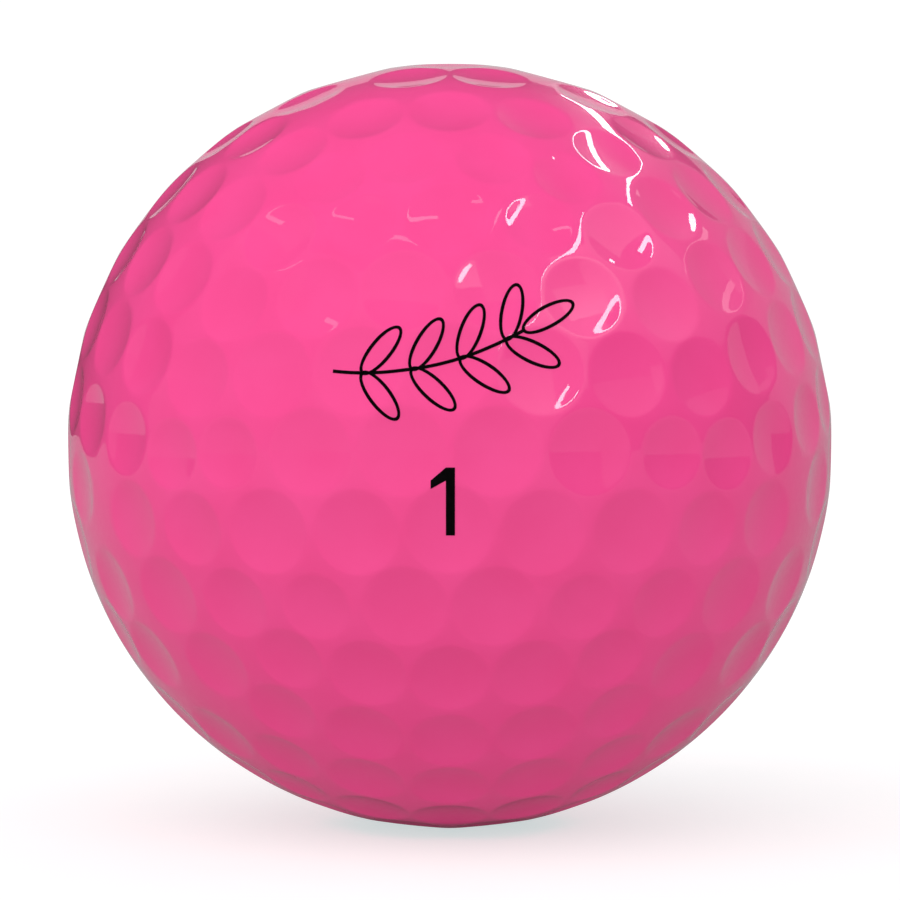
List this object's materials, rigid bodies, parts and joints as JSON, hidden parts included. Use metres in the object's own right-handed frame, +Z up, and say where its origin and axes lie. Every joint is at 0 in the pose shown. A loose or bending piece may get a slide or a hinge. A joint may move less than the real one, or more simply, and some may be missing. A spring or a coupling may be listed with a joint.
{
  "type": "golf ball",
  "caption": "Pink golf ball: a rubber core and a mantle inside a dimpled cover of two fused halves, printed with a play number and a leaf sprig.",
  "frame": {"origin": "centre of the ball", "axes": "+Z up, -Y towards the printed face, +X to the right as the print is read"},
  "size_m": [0.0426, 0.0427, 0.0425],
  "materials": {
    "cover": "glossy clear coat over pink resin",
    "mantle_resin": "smooth moulded resin",
    "core_rubber": "ground rubber",
    "ink": "matt black pad-printed ink"
  },
  "bodies": {
    "root": {"core": "core_rubber", "mantle": "mantle_resin", "cover_half_front": "cover", "cover_half_rear": "cover", "print_number": "ink", "print_mark": "ink"}
  },
  "joints": []
}
